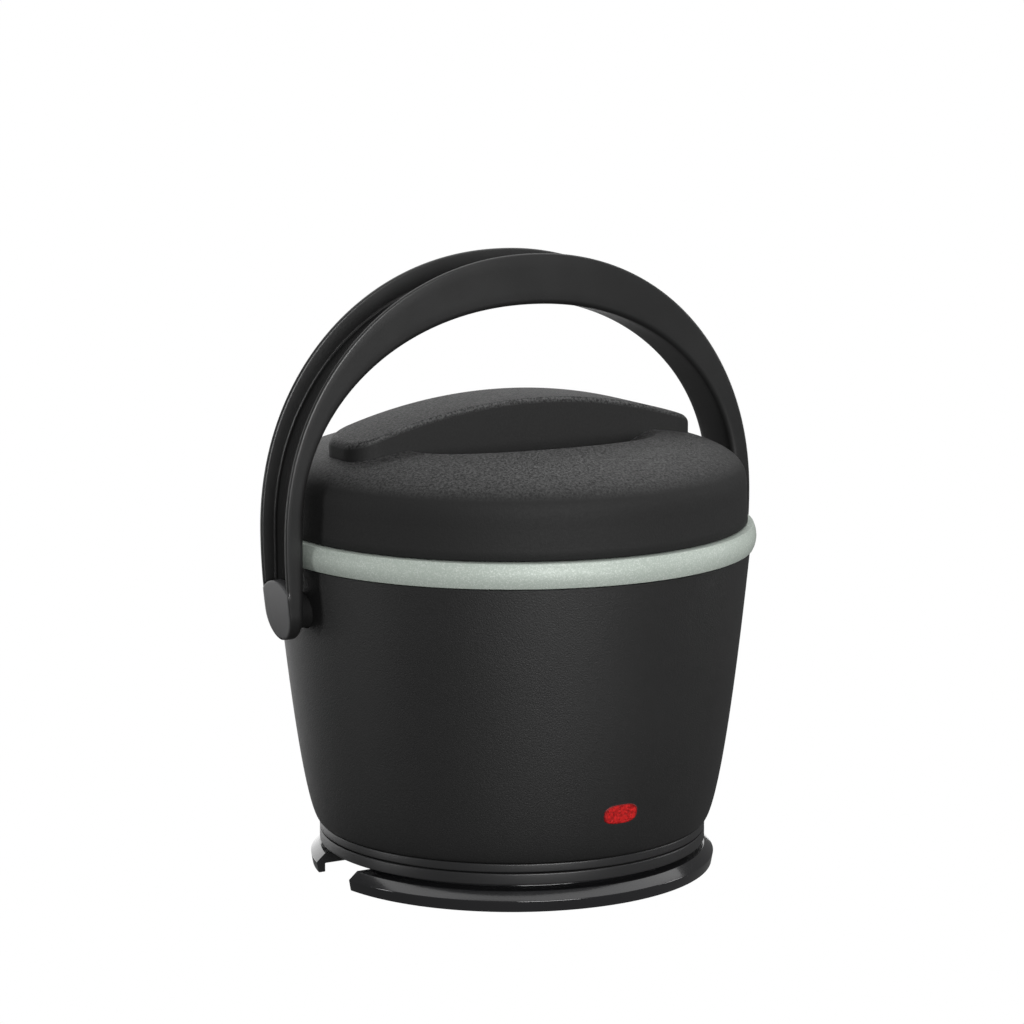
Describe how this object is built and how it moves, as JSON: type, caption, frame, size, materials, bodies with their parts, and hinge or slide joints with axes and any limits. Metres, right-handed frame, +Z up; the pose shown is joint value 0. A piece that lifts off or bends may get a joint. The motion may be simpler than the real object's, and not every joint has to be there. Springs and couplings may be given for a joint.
{
  "type": "slow cooker",
  "caption": "Tapered personal slow cooker with a heated well, a lift-out lidded food container, a domed outer lid with a grip, a swinging carry handle and a slotted lift-off power base.",
  "frame": {"origin": "on the surface it stands on, under the middle of the round base", "axes": "+Z up, +X along the handle's pivot line, the pilot light faces -Y, the cord slot of the base faces -X"},
  "size_m": [0.188, 0.1722, 0.2183],
  "materials": {
    "soft_black": "fine-grained satin black polypropylene, roughness about 0.55",
    "satin_black": "satin black polypropylene, roughness about 0.4",
    "gloss_black": "gloss black ABS, roughness about 0.12",
    "cap_grey": "satin charcoal plastic, roughness about 0.35",
    "sage": "sage grey-green plastic with a fine metallic fleck, roughness about 0.45",
    "lens_red": "translucent red acrylic, slightly speckled",
    "pale_plastic": "pale grey heat-resistant plastic",
    "silicone": "grey silicone seal",
    "foot_rubber": "black rubber",
    "blanket": "cream glass-fibre insulation blanket",
    "lamp_glass": "clear lamp glass",
    "wire": "red silicone wire sleeve",
    "aluminium": "plain satin aluminium",
    "steel": "zinc-plated steel",
    "brass": "plain brass"
  },
  "bodies": {
    "power_base": {"base_ring": "gloss_black", "base_plate": "satin_black", "base_screw_1": "steel", "base_screw_2": "steel", "base_screw_3": "steel", "base_foot_1": "foot_rubber", "base_foot_2": "foot_rubber", "base_foot_3": "foot_rubber", "base_foot_4": "foot_rubber", "contact_carrier": "satin_black", "contact_pin_1": "brass", "contact_pin_2": "brass", "contact_pin_3": "brass", "cord_gland": "foot_rubber"},
    "cup": {"bottom_cover": "satin_black", "cover_screw_1": "steel", "cover_screw_2": "steel", "cover_screw_3": "steel", "collar_ring": "satin_black", "outer_shell": "soft_black", "trim_band": "sage", "insulation_sleeve": "blanket", "heating_well": "aluminium", "heat_plate": "aluminium", "heater_element": "steel", "thermostat": "satin_black", "thermal_fuse": "pale_plastic", "clamp_strap": "steel", "strap_screw_1": "steel", "strap_screw_2": "steel", "heater_lead_1": "wire", "heater_lead_2": "wire", "cooker_socket": "satin_black", "lamp_lens": "lens_red", "lamp_holder": "pale_plastic", "neon_lamp": "lamp_glass", "lamp_lead_1": "wire", "lamp_lead_2": "wire", "pivot_pin_left": "steel", "pivot_pin_right": "steel", "pivot_insert_left": "brass", "pivot_insert_right": "brass"},
    "handle": {"handle_bail": "soft_black", "pivot_cap_left": "cap_grey", "pivot_cap_right": "cap_grey"},
    "container": {"food_container": "pale_plastic"},
    "inner_lid": {"container_lid": "pale_plastic", "container_seal": "silicone"},
    "outer_lid": {"lid_shell": "soft_black", "lid_liner": "pale_plastic", "lid_seal": "silicone"}
  },
  "joints": [
    {"name": "cooker_lift", "type": "slide", "parent": "power_base", "child": "cup", "axis": [0, 0, 1], "range_m": [0, 0.06]},
    {"name": "handle_swing", "type": "hinge", "parent": "cup", "child": "handle", "pos_m": [0, 0, 0.0992], "axis": [1, 0, 0], "range_deg": [-90, 90]},
    {"name": "container_lift", "type": "slide", "parent": "cup", "child": "container", "axis": [0, 0, 1], "range_m": [0, 0.0025]},
    {"name": "inner_lid_lift", "type": "slide", "parent": "container", "child": "inner_lid", "axis": [0, 0, 1], "range_m": [0, 0.0025]},
    {"name": "outer_lid_lift", "type": "slide", "parent": "inner_lid", "child": "outer_lid", "axis": [0, 0, 1], "range_m": [0, 0.006]}
  ]
}
